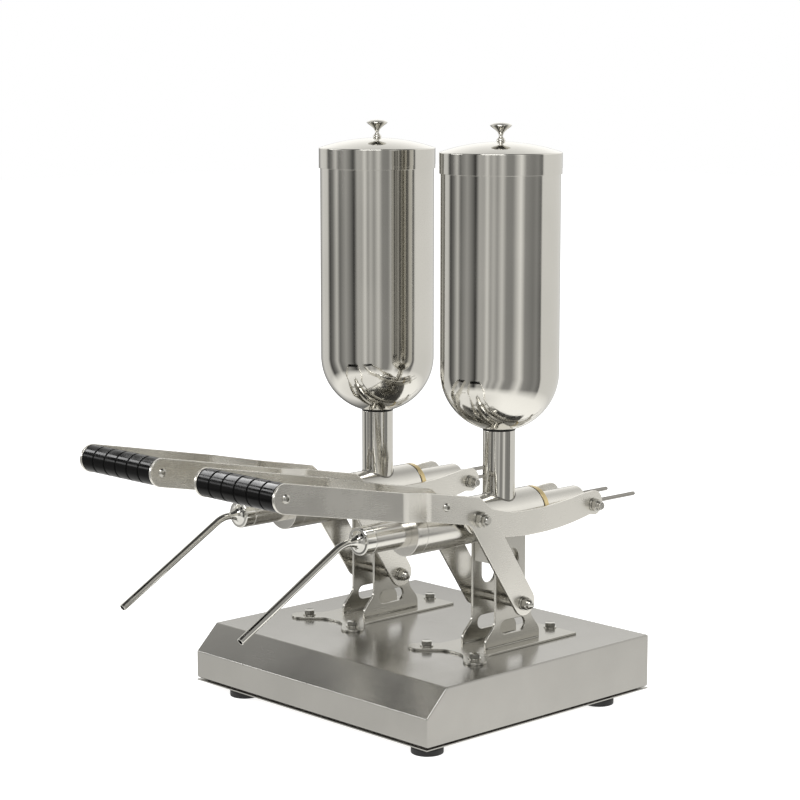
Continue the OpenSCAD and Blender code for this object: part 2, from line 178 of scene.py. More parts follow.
# %% Screen of grey cards
# each pair is an angle to the right of the camera, in degrees, and how light the cards are there
CARDS = [
    (-180, 0.80), (-126, 0.72), (-118, 0.07), (-107, 0.22), (-96, 0.66), (-88, 0.18),
    (-72, 0.42), (-60, 0.20), (-53, 0.03), (-46, 0.52), (-36, 0.48), (-30, 0.82),
    (-24, 0.40), (-18, 0.60), (-11, 0.36), (-2, 0.74), (6, 0.30), (18, 0.28),
    (33, 0.95), (42, 0.32), (58, 0.24), (66, 0.30), (76, 0.14), (79, 0.82), (180, 0.80)]
# how far the cards fade, by the angle above the floor
HEIGHTS = [(0, 1.0), (9, 1.0), (14, 1.5), (26, 1.5), (44, 1.0), (58, 0.14), (90, 0.10)]
BRIGHTEST = max(light for degrees, light in HEIGHTS)
# the cards are a little warm, like the paper of a studio
CARD_TINT = (1, 0.99, 0.96)
screen_turn = view_turn + math.radians(5)


def card_screen(near=0.02, far=4.0, height=5.2, steps=180):
    shape = bmesh.new()
    edge = [(near, 0.001), (far - 0.1, 0.001), (far, 0.1), (far, height),
            (0.7 * far, height + 1), (0.05, height + 1.3)]
    rings = [[shape.verts.new((r * math.sin(a), -r * math.cos(a), z))
              for a in (math.tau * k / steps for k in range(steps))] for r, z in edge]
    for low, high in zip(rings, rings[1:]):
        for k in range(steps):
            shape.faces.new((low[k - 1], low[k], high[k], high[k - 1]))
    mesh = bpy.data.meshes.new("card screen")
    shape.to_mesh(mesh)
    shape.free()
    screen = bpy.data.objects.new("card_screen", mesh)
    screen.rotation_euler.z = screen_turn
    bpy.context.scene.collection.objects.link(screen)
    screen.visible_camera = False
    screen.visible_diffuse = False
    screen.visible_shadow = False
    return screen


def add_ramp(tree, position, stops, span, start=0, tint=(1, 1, 1)):
    """A colour ramp over a span of angles, from pairs of an angle and how light it is there."""
    ramp = add_node(tree, "ValToRGB", {0: position})
    elements = ramp.color_ramp.elements
    while len(elements) > 1:
        elements.remove(elements[-1])
    for number, (degrees, light) in enumerate(stops):
        place = (degrees - start) / span
        stop = elements[0] if number == 0 else elements.new(place)
        stop.position = place
        stop.color = (*(light * part for part in tint), 1)
    return ramp.outputs[0]


def card_material():
    material = bpy.data.materials.new("grey cards")
    tree = new_tree(material)
    place = add_node(tree, "SeparateXYZ", {0: add_node(tree, "TexCoord").outputs["Object"]})
    ahead = add_node(tree, "Math", {0: place.outputs["Y"], 1: -1.0}, operation="MULTIPLY")
    angle = add_node(tree, "Math", {0: place.outputs["X"], 1: ahead}, operation="ARCTAN2")
    turn = add_node(tree, "MapRange", {0: angle, 1: -math.pi, 2: math.pi})
    cards = add_ramp(tree, turn.outputs[0], CARDS, 360, start=-180, tint=CARD_TINT)
    # the cards are darker higher up, and the ceiling is darkest
    flat_place = add_node(tree, "CombineXYZ", {0: place.outputs["X"], 1: place.outputs["Y"]})
    level = add_node(tree, "VectorMath", {0: flat_place}, operation="LENGTH")
    rise = add_node(tree, "Math", {
        0: place.outputs["Z"], 1: level.outputs["Value"]}, operation="ARCTAN2")
    share = add_node(tree, "MapRange", {0: rise, 1: 0.0, 2: math.pi / 2})
    fade = add_ramp(tree, share.outputs[0], [(d, light / BRIGHTEST) for d, light in HEIGHTS], 90)
    strength = add_node(tree, "Math", {0: fade, 1: BRIGHTEST}, operation="MULTIPLY")
    # a low dark wall straight behind the machine keeps the top of the base quiet
    behind = add_node(tree, "Math", {0: angle}, operation="ABSOLUTE")
    wall = add_node(tree, "MapRange", {
        0: behind, 1: math.radians(148), 2: math.radians(172), 3: 1.0, 4: 0.2})
    low = add_node(tree, "MapRange", {
        0: rise, 1: math.radians(10), 2: math.radians(15), 3: wall, 4: 1.0})
    strength = add_node(tree, "Math", {0: strength, 1: low}, operation="MULTIPLY")
    # the foot of each card runs out softly into a pale floor, which is darker at the left
    close = add_node(tree, "MapRange", {0: place.outputs["X"], 1: -0.10, 2: 0.15, 3: 1.02, 4: 1.24})
    pale = add_node(tree, "MapRange", {
        0: level.outputs["Value"], 1: 0.42, 2: 0.75, 3: close, 4: 1.15})
    floor_tone = add_node(tree, "VectorMath", {0: CARD_TINT, "Scale": pale}, operation="SCALE")
    foot = add_node(tree, "MapRange", {0: level.outputs["Value"], 1: 0.66, 2: 1.0})
    tone = add_node(tree, "Mix", {"Factor": foot}, data_type="RGBA")
    tree.links.new(floor_tone.outputs[0], tone.inputs["A"])
    tree.links.new(cards, tone.inputs["B"])
    # the cards glow by their own emission and no lamp lights them: they stand in for lit cards, and
    # they show only in reflections
    glow = add_node(tree, "Emission", {"Color": tone.outputs["Result"], "Strength": strength})
    add_node(tree, "OutputMaterial", {"Surface": glow})
    return material


card_screen().data.materials.append(card_material())
print(len(CARDS), "card edges")

# %% [markdown]
# ## The lamps
#
# Two wide soft boxes light the machine at a plain level: a main one above and in
# front, and a weaker one behind that keeps the far edges clear. A low strip at the
# left draws the fine line along the bend of the base. Small lamps would put hard
# sparks on every screw head. The two panes of a window at the left shine on the
# black grips only, and draw the two pale streaks along them.

# %% Soft boxes
def soft_box(name, place, watts, width, height, mirrored=True, only=None):
    lamp = bpy.data.lights.new(name, "AREA")
    lamp.shape = "RECTANGLE"
    lamp.size, lamp.size_y = width, height
    lamp.energy = watts
    box = bpy.data.objects.new(name, lamp)
    box.location = place
    aim = Vector((0, 0, 0.3)) - box.location
    box.rotation_mode = "QUATERNION"
    box.rotation_quaternion = aim.to_track_quat("-Z", "Y")
    bpy.context.scene.collection.objects.link(box)
    box.visible_glossy = mirrored
    if only:
        box.light_linking.receiver_collection = only
    print(name, watts, "W")


soft_box("main soft box", (0.9, -1.5, 2.3), 26, 1.6, 1.0)
soft_box("back soft box", (-0.6, 2.0, 1.9), 14, 1.4, 0.8, mirrored=False)
soft_box("low strip", (-1.87, -1.76, 0.96), 7, 1.5, 0.28)
grips = bpy.data.collections.new("grips")
bpy.context.scene.collection.children.link(grips)
soft_box("left window, rear pane", (-1.55, -0.02, 1.75), 22, 1.5, 0.30, only=grips)
soft_box("left window, front pane", (-1.50, -1.05, 1.42), 18, 1.5, 0.24, only=grips)

# %% [markdown]
# ## Steel finishes
#
# All the metal here but two brass rings looks like stainless steel that was worked
# in different ways. Sheet and plate are brushed, which leaves fine parallel
# scratches; hoppers are polished, with faint upright marks; barrels are turned on a
# lathe, with marks that run round them. One recipe makes all of these: a noise
# that is stretched along the marks changes the roughness and lifts the surface a
# hair, and a large soft noise clouds the tone, as handled steel always does.
#
# How light each finish is written was set by comparing tones under these cards, and
# says nothing about the metal itself. The base, stands, screws, rods and seams are
# written darker than the rest, which is painted shade, and the levers lighter, which
# is painted light, so in another studio these would all be set again.

# %% Steel recipe
def steel(name, colour, rough, marks, spread=0.08, depth=0.03, cloud=14.0):
    """marks is how fine the scratches are along X, Y and Z, in lines per metre."""
    material = bpy.data.materials.new(name)
    tree = new_tree(material)
    where = add_node(tree, "TexCoord").outputs["Object"]
    stretched = add_node(tree, "Mapping", {"Vector": where, "Scale": marks})
    lines = add_node(tree, "TexNoise", {
        "Vector": stretched, "Scale": 1.0, "Detail": 5.0, "Roughness": 0.62})
    clouds = add_node(tree, "TexNoise", {
        "Vector": where, "Scale": cloud, "Detail": 3.0, "Roughness": 0.5})
    line_tone = add_node(tree, "MapRange", {0: lines, 1: 0.3, 2: 0.7, 3: -spread, 4: spread})
    cloud_tone = add_node(tree, "MapRange", {0: clouds, 1: 0.3, 2: 0.7, 3: -0.03, 4: 0.04})
    both = add_node(tree, "Math", {0: line_tone, 1: cloud_tone}, operation="ADD")
    roughness = add_node(tree, "Math", {0: both, 1: rough}, operation="ADD", use_clamp=True)
    dark = [c * 0.93 for c in colour]
    tone = add_node(tree, "MapRange", {0: clouds, 1: 0.35, 2: 0.65})
    tint = add_node(tree, "Mix", {"Factor": tone}, data_type="RGBA")
    tint.inputs["A"].default_value = (*dark, 1)
    tint.inputs["B"].default_value = (*colour, 1)
    lift = add_node(tree, "Bump", {"Strength": depth, "Distance": 0.0004, "Height": lines})
    surface = add_node(tree, "BsdfPrincipled", {
        "Base Color": tint.outputs["Result"], "Metallic": 1.0,
        "Roughness": roughness, "Normal": lift})
    add_node(tree, "OutputMaterial", {"Surface": surface})
    print("finish:", name)
    return material


plate_marks = {"marks": (1600, 30, 1600), "spread": 0.02, "depth": 0.006}
small_parts = {"marks": (900, 900, 900), "cloud": 60}
# painted shade on the base sheet and the stand plates, which are written darker, and painted light on
# the brushed plate of the levers and links, which is written lighter
brushed_base = steel(
    "brushed base sheet", (0.39, 0.382, 0.36), 0.21, (40, 2200, 2200), spread=0.04, depth=0.03)
brushed_plate = steel("brushed plate", (0.79, 0.771, 0.718), 0.26, **plate_marks)
stand_steel = steel("brushed stand plate", (0.50, 0.488, 0.45), 0.24, **plate_marks)
polished_hopper = steel(
    "polished hopper", (0.71, 0.695, 0.65), 0.085, (150, 150, 2.2), spread=0.035, depth=0.04, cloud=7.0)
turned_steel = steel("turned steel", (0.68, 0.665, 0.625), 0.17, (4, 1400, 4), spread=0.05, depth=0.06)
# painted shade: the screw steel of the screws and weld beads, and the drawn steel of the rods and
# throat welds, are written darker than the turned steel
small_steel = steel("screw steel", (0.52, 0.51, 0.475), 0.10, spread=0.04, depth=0.02, **small_parts)
shaded_drawn_steel = steel("drawn steel with painted shade", (0.30, 0.29, 0.27), 0.16, spread=0.05, depth=0.03, **small_parts)
drawn_tube = steel(
    "drawn tube", (0.72, 0.71, 0.67), 0.06, (60, 60, 60), spread=0.03, depth=0.01, cloud=30)
gold_ring = steel("gland brass", (0.62, 0.50, 0.27), 0.24, (6, 1500, 6), spread=0.05, depth=0.05)

# %% [markdown]
# ## Rubber finishes
#
# The lever grips are smooth black rubber with a light sheen from many hands. The
# feet and the gasket are plain matt rubber with a fine grain. Both are nearly
# black, never quite, because real black rubber still shows its own shading.

# %% Rubber recipe
def rubber(name, shade, rough, grain, depth, shine=0.5):
    material = bpy.data.materials.new(name)
    tree = new_tree(material)
    where = add_node(tree, "TexCoord").outputs["Object"]
    pores = add_node(tree, "TexNoise", {"Vector": where, "Scale": grain, "Detail": 4.0})
    smears = add_node(tree, "TexNoise", {"Vector": where, "Scale": 40.0, "Detail": 2.0})
    roughness = add_node(tree, "MapRange", {
        0: smears, 1: 0.3, 2: 0.7, 3: rough - 0.06, 4: rough + 0.08})
    tone = add_node(tree, "MapRange", {0: pores, 1: 0.3, 2: 0.7, 3: shade * 0.7, 4: shade * 1.3})
    colour = add_node(tree, "CombineColor", {0: tone, 1: tone, 2: tone})
    lift = add_node(tree, "Bump", {"Strength": depth, "Distance": 0.0003, "Height": pores})
    surface = add_node(tree, "BsdfPrincipled", {
        "Base Color": colour, "Roughness": roughness, "Normal": lift,
        "Specular IOR Level": shine})
    add_node(tree, "OutputMaterial", {"Surface": surface})
    print("finish:", name)
    return material


grip_rubber = rubber("grip rubber", 0.003, 0.13, 900.0, 0.03, shine=0.08)
matt_rubber = rubber("matt rubber", 0.014, 0.62, 1400.0, 0.25)

# %% [markdown]
# ## Building shapes from rings
#
# Nearly every small part of this machine came off a lathe. Its shape is an
# outline turned about an axis, so a list of rings joined by faces makes it.
# Blender has a Spin tool and a Screw modifier for this, but rings made in code
# also give hexagons, weld beads and bent tubes, with the same few lines.

# %% Softened outlines and rings
def softened(points, radius, steps=4, closed=False):
    """The same outline, with every corner rounded."""
    made = []
    last = len(points) - 1
    for i, point in enumerate(points):
        here = Vector(point)
        if not closed and i in (0, last):
            made.append(here)
            continue
        back = Vector(points[i - 1]) - here
        ahead = Vector(points[(i + 1) % len(points)]) - here
        half = back.angle(ahead) / 2
        if half > math.radians(85):
            made.append(here)
            continue
        reach = min(radius / math.tan(half), 0.46 * back.length, 0.46 * ahead.length)
        start, end = here + back.normalized() * reach, here + ahead.normalized() * reach
        for k in range(steps + 1):
            s = k / steps
            made.append(start * (1 - s) ** 2 + here * 2 * s * (1 - s) + end * s ** 2)
    return made


def add_rings(shape, rings, closed=False):
    """Faces between rings of points. Rings that shrink to a point close the shape."""
    rows = [[shape.verts.new(point) for point in ring] for ring in rings]
    pairs = list(zip(rows, rows[1:])) + ([(rows[-1], rows[0])] if closed else [])
    faces = [shape.faces.new((low[k - 1], low[k], high[k], high[k - 1]))
             for low, high in pairs for k in range(len(low))]
    corners = [v for row in rows for v in row]
    bmesh.ops.recalc_face_normals(shape, faces=faces)
    bmesh.ops.remove_doubles(shape, verts=corners, dist=1e-7)


def add_turned(shape, outline, start, axis, closed=False, around=64):
    """outline holds (distance along the axis, radius), in metres."""
    side = axis.orthogonal().normalized()
    up = axis.cross(side)
    angles = [math.tau * k / around for k in range(around)]
    add_rings(shape, [
        [start + axis * d + (side * math.cos(a) + up * math.sin(a)) * max(r, 0) for a in angles]
        for d, r in outline], closed)


def piece(name, shape, material, body, replaced=(), crisp=40):
    """Turns a finished shape into an object that moves with its body."""
    mesh = bpy.data.meshes.new(name)
    shape.to_mesh(mesh)
    shape.free()
    mesh.shade_smooth()
    mesh.set_sharp_from_angle(angle=math.radians(crisp))
    mesh.materials.append(material)
    made = bpy.data.objects.new(name, mesh)
    bpy.context.scene.collection.objects.link(made)
    evened = made.modifiers.new("flat faces stay flat", "WEIGHTED_NORMAL")
    evened.keep_sharp = True
    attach(made, body)
    if replaced:
        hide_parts(*replaced)
    return made


def turned_piece(node, name, outline, start, axis, material, body, closed=False, around=64):
    """A piece that is one turned outline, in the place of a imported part."""
    shape = bmesh.new()
    add_turned(shape, outline, start, axis, closed, around)
    return piece(name, shape, material, body, [node])


def middle(node):
    low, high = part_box(node)
    return (low + high) / 2


def half_width(node):
    low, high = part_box(node)
    return (high.x - low.x) / 2


def upright(node):
    """A part's own upright axis at z = 0, as a starting point for turned parts."""
    centre = middle(node)
    return Vector((centre.x, centre.y, 0))


def tube_wall(start, end, outer, inner, soft):
    """The closed outline of a tube, from one distance along its axis to another."""
    return softened([(start, inner), (start, outer), (end, outer), (end, inner)], soft, closed=True)


print("ring tools ready")

# %% [markdown]
# ## Building plates from their outlines
#
# The stand plates, levers, links and foot plates are cut from flat sheet. The
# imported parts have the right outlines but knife-sharp edges. A Bevel modifier
# would round them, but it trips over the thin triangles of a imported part. So the
# outline is read from the part's flat face, and the plate is built again with an
# edge that is rounded by a fraction of a millimetre.

# %% Reading an outline
def outlines(node, axis):
    """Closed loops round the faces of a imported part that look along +X or +Z."""
    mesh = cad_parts[node].data
    across = [k for k in range(3) if k != axis]
    spot = [tuple(round(c, 6) for c in v.co) for v in mesh.vertices]
    edges = set()
    for face in mesh.polygons:
        if face.normal[axis] > 0.5:
            ring = [spot[k] for k in face.vertices]
            edges.update(zip(ring, ring[1:] + ring[:1]))
    following = {a: b for a, b in edges if (b, a) not in edges}
    loops = []
    while following:
        start, here = following.popitem()
        loop = [start]
        while here != start:
            loop.append(here)
            here = following.pop(here)
        loops.append(tidy_loop([Vector((p[across[0]], p[across[1]])) for p in loop]))
    return sorted(loops, key=lambda loop: -abs(loop_area(loop)))


def loop_area(loop):
    return sum(a.x * b.y - a.y * b.x for a, b in zip(loop, loop[1:] + loop[:1])) / 2


def tidy_loop(loop):
    """Leaves out points that lie on a straight line between their neighbours."""
    kept = []
    for i, here in enumerate(loop):
        back, ahead = here - loop[i - 1], loop[(i + 1) % len(loop)] - here
        if back.length > 1e-6 and ahead.length > 1e-6 and back.angle(ahead) > math.radians(0.4):
            kept.append(here)
    return kept


# %% Plates with rounded edges
def drawn_in(loop, amount):
    """The loop moved into the metal, which lies to its left."""
    made = []
    for i, here in enumerate(loop):
        a = (here - loop[i - 1]).normalized()
        b = (loop[(i + 1) % len(loop)] - here).normalized()
        n, m = Vector((-a.y, a.x)), Vector((-b.y, b.x))
        made.append(here + (n + m) / max(0.4, 1 + n.dot(m)) * amount)
    return made


def add_plate(shape, loops, axis, low, high, edge=0.0005, steps=3):
    """A plate between two heights, with edges rounded by that radius."""
    def place(point, height):
        u, v = point
        return (height, u, v) if axis == 0 else (u, v, height)

    bends = [math.pi / 2 * k / steps for k in range(steps + 1)]
    levels = [(edge * (1 - math.sin(t)), low + edge * (1 - math.cos(t))) for t in bends]
    levels += [(inset, low + high - height) for inset, height in reversed(levels)]
    caps = ([], [])
    faces = []
    for loop in loops:
        rows = [[shape.verts.new(place(p, height)) for p in drawn_in(loop, inset)]
                for inset, height in levels]
        for a, b in zip(rows, rows[1:]):
            faces += [shape.faces.new((a[k - 1], a[k], b[k], b[k - 1])) for k in range(len(loop))]
        caps[0].append(rows[0])
        caps[1].append(rows[-1])
    for rows in caps:
        flat = [v for row in rows for v in row]
        flat_points = [[Vector((*p, 0)) for p in drawn_in(loop, edge)] for loop in loops]
        for triangle in tessellate_polygon(flat_points):
            faces.append(shape.faces.new([flat[k] for k in triangle]))
    bmesh.ops.recalc_face_normals(shape, faces=faces)


def cut_plate(node, name, axis, material, body, edge=0.7 * MM):
    """A flat packed plate, cut again with rounded edges."""
    low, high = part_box(node)
    shape = bmesh.new()
    add_plate(shape, outlines(node, axis), axis, low[axis], high[axis], edge=edge)
    return piece(name, shape, material, body, [node])


print("plate tools ready")

# %% [markdown]
# ## Nuts, bolts and washers
#
# A hexagon head is not a plain prism: its corners are cut by a cone, which leaves
# a curved line on each flat. The same rings make it, if each ring's radius is the
# smaller of the hexagon's and the cone's at that height. A cap nut adds a dome,
# and a bolt's end shows a few turns of thread.

# %% Fasteners
AROUND = [math.tau * k / 72 for k in range(72)]


def hexagon(flats, angle):
    return flats / 2 / math.cos((angle + math.pi / 6) % (math.pi / 3) - math.pi / 6)


def ring_of(start, axis, distance, radii):
    side = axis.orthogonal().normalized()
    up = axis.cross(side)
    return [start + axis * distance + (side * math.cos(a) + up * math.sin(a)) * r
            for a, r in zip(AROUND, radii)]


def add_hexagon(shape, start, axis, flats, height):
    """A hexagon head or nut, with both ends cut by a cone."""
    flat_round = flats * 0.475
    rise = [0, 0.2 * MM, 0.45 * MM, 0.8 * MM, flats * 0.085]
    levels = [(d, d) for d in rise] + [(height - d, d) for d in reversed(rise)]
    point = [0] * len(AROUND)
    rings = [ring_of(start, axis, 0, point)]
    for place, depth in levels:
        rings.append(ring_of(start, axis, place, [
            min(hexagon(flats, a), flats * 0.569, flat_round + depth * 1.73) for a in AROUND]))
    rings.append(ring_of(start, axis, height, point))
    add_rings(shape, rings)


def add_rod(shape, start, axis, radius, length, soft=0.3 * MM):
    """A plain rod, a collar or a washer, with softened ends."""
    outline = softened([(0, 0), (0, radius), (length, radius), (length, 0)], soft)
    add_turned(shape, outline, start, axis)


def add_thread(shape, start, axis, radius, length, pitch=1.25 * MM):
    """A bolt's end: a few ridges, then a small bevel."""
    outline = [(0, 0), (0, radius * 0.9)]
    turns = max(1, int((length - 0.8 * MM) / pitch))
    for k in range(turns):
        outline += [((k + 0.3) * pitch, radius * 0.9), ((k + 0.7) * pitch, radius)]
    outline += [(length - 0.7 * MM, radius * 0.97), (length, radius * 0.82), (length, 0)]
    add_turned(shape, outline, start, axis)


def add_dome(shape, start, axis, radius, height):
    bends = [math.pi / 2 * k / 12 for k in range(13)]
    outline = [(height * math.sin(t), radius * math.cos(t)) for t in bends]
    add_turned(shape, [(0, 0)] + outline, start, axis)


def add_button_head(shape, start, axis, radius, height, socket):
    """A low round screw head with a hexagon socket."""
    point = [0] * len(AROUND)
    rings = [ring_of(start, axis, 0, point)]
    top = math.asin(socket * 0.66 / radius)
    for k in range(9):
        t = math.pi / 2 - (math.pi / 2 - top) * k / 8
        rings.append(ring_of(start, axis, height * math.cos(t), [radius * math.sin(t)] * len(AROUND)))
    mouth = [hexagon(socket, a) for a in AROUND]
    lip = height * math.cos(top)
    rings.append(ring_of(start, axis, lip - 0.1 * MM, [r * 1.05 for r in mouth]))
    rings.append(ring_of(start, axis, lip - 0.35 * MM, mouth))
    rings.append(ring_of(start, axis, lip - 1.7 * MM, mouth))
    rings.append(ring_of(start, axis, lip - 2.1 * MM, point))
    add_rings(shape, rings)


def add_stack(shape, centre, way, parts):
    """Parts threaded on one shaft. Each row is a kind, where it starts and its sizes, in mm."""
    for kind, start, *sizes in parts:
        kind(shape, centre + way * start * MM, way, *(size * MM for size in sizes))


print("fastener tools ready")

# %% [markdown]
# ## The base box
#
# The base is one sheet, folded down at the front and sides. A fold in 2 mm sheet
# is always a little round, and that round edge is the bright line between the
# sloped front and the lip. The box could be a cube with its corners moved, but an
# outline with softened corners, made into a very wide plate, gives the folds
# their true radius at once.

# %% Base box
lip_height = 36.1 * MM
slope_depth = 33.7 * MM
fold_radius = 3.2 * MM
base_low, base_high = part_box("base_shell")


def base_box():
    front, back, bottom, top = base_low.y, base_high.y, base_low.z, base_high.z
    side = [(front, bottom), (back, bottom), (back, top),
            (front + slope_depth, top), (front, bottom + lip_height)]
    folds = softened(side, fold_radius, steps=6, closed=True)
    shape = bmesh.new()
    add_plate(shape, [folds], 0, base_low.x, base_high.x, edge=1.6 * MM, steps=4)
    return piece("base_box", shape, brushed_base, "frame", ["base_shell"], crisp=60)


base_box()
print("base", round((base_high.x - base_low.x) * 1000), "mm wide")

# %% [markdown]
# ## Feet and bottom pan
#
# Four round rubber feet carry the base. Each is turned, with a soft lower edge
# and a sunk ring that keeps it from sliding. The pan under the box stays as it is
# packed, because only its thin edge shows, and gets the brushed finish.

# %% Feet
def feet(radius=20 * MM, groove=1.2 * MM):
    low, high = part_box("feet")
    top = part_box("base_pan")[0].z
    shape = bmesh.new()
    for x in (low.x + radius, high.x - radius):
        for y in (low.y + radius, high.y - radius):
            outline = softened([
                (2.5 * MM, 0), (2.5 * MM, radius * 0.45), (0, radius * 0.5), (0, radius),
                (top - 2 * groove, radius), (top - 1.5 * groove, radius - groove / 2),
                (top - groove, radius), (top, radius - 1 * MM), (top, 0)], 1.6 * MM)
            add_turned(shape, outline, Vector((x, y, 0)), Z)
    return piece("rubber_feet", shape, matt_rubber, "frame", ["feet"])


def dress(node, material):
    """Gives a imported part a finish, and keeps its shape."""
    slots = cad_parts[node].data.materials
    slots.clear()
    slots.append(material)


feet()
dress("base_pan", brushed_base)
print("4 feet")

# %% [markdown]
# ## Foot plates and their bolts
#
# Each filler stands on a long plate with two round ears, held down by three hex
# bolts with washers. The plate is 3 mm sheet, so its rim shows as a light line.

# %% Foot plates
bolt_spots = [(-43 * MM, -58 * MM), (43 * MM, -58 * MM), (0, 127 * MM)]
plate_reach = 133 * MM
foot_bolt = [(add_rod, 0, 8.5, 1.6), (add_hexagon, 1.6, 13, 5.4)]


def foot_bolts():
    shape = bmesh.new()
    for side in SIDES:
        centre = middle(f"barrel_{side}").x
        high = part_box(f"foot_plate_{side}")[1]
        for x, y in bolt_spots:
            add_stack(shape, Vector((centre + x, high.y - plate_reach + y, high.z)), Z, foot_bolt)
    return piece("foot_bolt_heads", shape, small_steel, "frame", ["foot_bolts"])


for side in SIDES:
    cut_plate(f"foot_plate_{side}", f"foot_plate_cut_{side}", 2, stand_steel, "frame", edge=0.6 * MM)
foot_bolts()
print("2 foot plates, 6 bolts")

# %% [markdown]
# ## Stand plates
#
# Two plates carry each barrel. They flare at the foot, have a slot for adjusting
# the barrel and a window above the foot plate, and are welded down. A weld is a
# row of small overlapping drops, so its bead is a thin tube whose radius ripples.

# %% Stand plates and weld beads
def add_bead(shape, path, radius, ripple=0.18, drops=1.6 * MM, closed=False):
    """A weld bead along a path of points: a tube that swells with each drop."""
    rings = []
    travelled = 0.0
    last = len(path) - 1
    for i, here in enumerate(path):
        back = path[i - 1] if i or closed else here
        ahead = path[(i + 1) % len(path)] if i < last or closed else here
        along = (ahead - back).normalized()
        side = along.cross(Z) if abs(along.z) < 0.9 else along.cross(X)
        side.normalize()
        up = along.cross(side)
        swell = radius * (1 + ripple * math.sin(math.tau * travelled / drops))
        if not closed and i in (0, last):
            swell = radius * 0.2
        rings.append([here + (side * math.cos(a) + up * math.sin(a)) * swell
                      for a in (math.tau * k / 10 for k in range(10))])
        travelled += (ahead - here).length
    if not closed:
        rings = [[path[0]] * 10] + rings + [[path[-1]] * 10]
    add_rings(shape, rings, closed)


def stand_welds(side, step=0.4 * MM, short_of_end=2 * MM):
    shape = bmesh.new()
    for which in ("outer", "inner"):
        low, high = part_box(f"stand_plate_{which}_{side}")
        count = int((high.y - low.y - 2 * short_of_end) / step)
        for x in (low.x, high.x):
            start = Vector((x, low.y + short_of_end, low.z + 0.3 * MM))
            path = [start + Y * step * k for k in range(count)]
            add_bead(shape, path, 1.1 * MM)
    return piece(f"stand_welds_{side}", shape, small_steel, "frame")


for side in SIDES:
    for which in ("outer", "inner"):
        cut_plate(f"stand_plate_{which}_{side}", f"stand_{which}_{side}", 0, stand_steel, "frame")
    stand_welds(side)
    dress(f"saddle_block_{side}", stand_steel)
print("4 stand plates")

# %% [markdown]
# ## Main pivots
#
# Each lever swings on a shaft between the stand plates, with a spacer, a washer
# and a domed cap nut at each end. The nuts sit right on the shaft's line, which
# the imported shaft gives.

# %% Main pivots
pivot_end = [(add_rod, 46, 9, 1.6), (add_hexagon, 47.6, 14, 7), (add_dome, 54.3, 6.4, 7.6)]


def pivot_shaft(side, half=18.5 * MM, tip=59 * MM, thick=6.75 * MM, thin=5 * MM):
    node = f"pivot_shaft_{side}"
    outline = softened([
        (-tip, 0), (-tip, thin), (-half, thin), (-half, thick),
        (half, thick), (half, thin), (tip, thin), (tip, 0)], 0.4 * MM)
    return turned_piece(
        node, f"pivot_shaft_turned_{side}", outline, middle(node), X,
        turned_steel, "frame")


def pivot_ends():
    spacers, nuts = bmesh.new(), bmesh.new()
    ring = tube_wall(22.5 * MM, 41.1 * MM, 8 * MM, 5.05 * MM, 0.5 * MM)
    for side in SIDES:
        centre = middle(f"pivot_shaft_{side}")
        for way in (X, -X):
            add_turned(spacers, ring, centre, way, closed=True)
            add_stack(nuts, centre, way, pivot_end)
    piece("pivot_spacer_rings", spacers, turned_steel, "frame", ["pivot_spacers"])
    piece("pivot_cap_nuts", nuts, small_steel, "frame", ["pivot_nuts"])


for side in SIDES:
    pivot_shaft(side)
pivot_ends()
print("2 pivots with cap nuts")

# %% [markdown]
# ## Barrels, caps and sleeves
#
# The barrel, its front cap and the outlet sleeve are turned from round bar. They
# lie in one line, and where two of them meet, both edges are bevelled, which
# leaves a fine dark groove. Each is a closed outline turned about the barrel's
# axis, hollow as the real one is.

# %% Barrel group
def along_barrel(side):
    """The barrel's axis at y = 0, as a starting point for turned parts."""
    centre = middle(f"barrel_{side}")
    return Vector((centre.x, 0, centre.z))


def turned_tube(kind, side, outer, inner, material=turned_steel, soft=0.6 * MM):
    node = f"{kind}_{side}"
    low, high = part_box(node)
    return turned_piece(
        node, f"{kind}_turned_{side}", tube_wall(low.y, high.y, outer, inner, soft),
        along_barrel(side), Y, material, "frame", closed=True, around=96)


plunger_bore = 19.1 * MM
outlet_bore = 12 * MM
for side in SIDES:
    barrel_radius = half_width(f"barrel_{side}")
    sleeve_radius = half_width(f"outlet_sleeve_{side}")
    turned_tube("barrel", side, barrel_radius, plunger_bore)
    turned_tube("front_cap", side, barrel_radius, outlet_bore, soft=0.9 * MM)
    turned_tube("outlet_sleeve", side, sleeve_radius, outlet_bore)
    turned_tube("gland_ring", side, barrel_radius, plunger_bore, gold_ring, 0.8 * MM)
print("barrel radius", round(barrel_radius * 1000, 1), "mm")

# %% Gaskets
def gaskets():
    low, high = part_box("gaskets")
    shape = bmesh.new()
    for side in SIDES:
        outer = half_width(f"barrel_{side}") - 0.3 * MM
        ring = tube_wall(low.y, high.y, outer, plunger_bore, 0.3 * MM)
        add_turned(shape, ring, along_barrel(side), Y, closed=True)
    return piece("gasket_rings", shape, matt_rubber, "frame", ["gaskets"])


gaskets()
print("2 gaskets")

# %% [markdown]
# ## Filling tubes
#
# The filling leaves through a thin tube that is set in a round cap, runs straight
# out, and bends down by 30 degrees. The whole run is one line in a plane, so the
# tube is a set of rings along it, and its open end turns back inside to show the
# wall. Where it leaves the cap, the solder is ground to a smooth trumpet.

# %% Filling tube
tube_radius, tube_bore = 4.5 * MM, 3.5 * MM
bend_down = math.radians(30)
bend_radius = 38 * MM
tube_straight = 173 * MM
cap_face = 215.5 * MM
cap_length = 16 * MM
bend_start = 231 * MM
inner_reach = 25 * MM


def tube_line(shift, centre):
    """Places and directions along the filling tube, from the cap to the tip."""
    spots = [(0, 0, 0.0), (bend_start - cap_face, 0, 0.0)]
    for k in range(1, 13):
        a = bend_down * k / 12
        drop = bend_radius * (1 - math.cos(a))
        spots.append((bend_start - cap_face + bend_radius * math.sin(a), -drop, a))
    out, down, a = spots[-1]
    for k in range(1, 9):
        reach = tube_straight * k / 8
        spots.append((out + reach * math.cos(a), down - reach * math.sin(a), a))
    return [(centre + Vector((0, shift - out, down)), a) for out, down, a in spots]


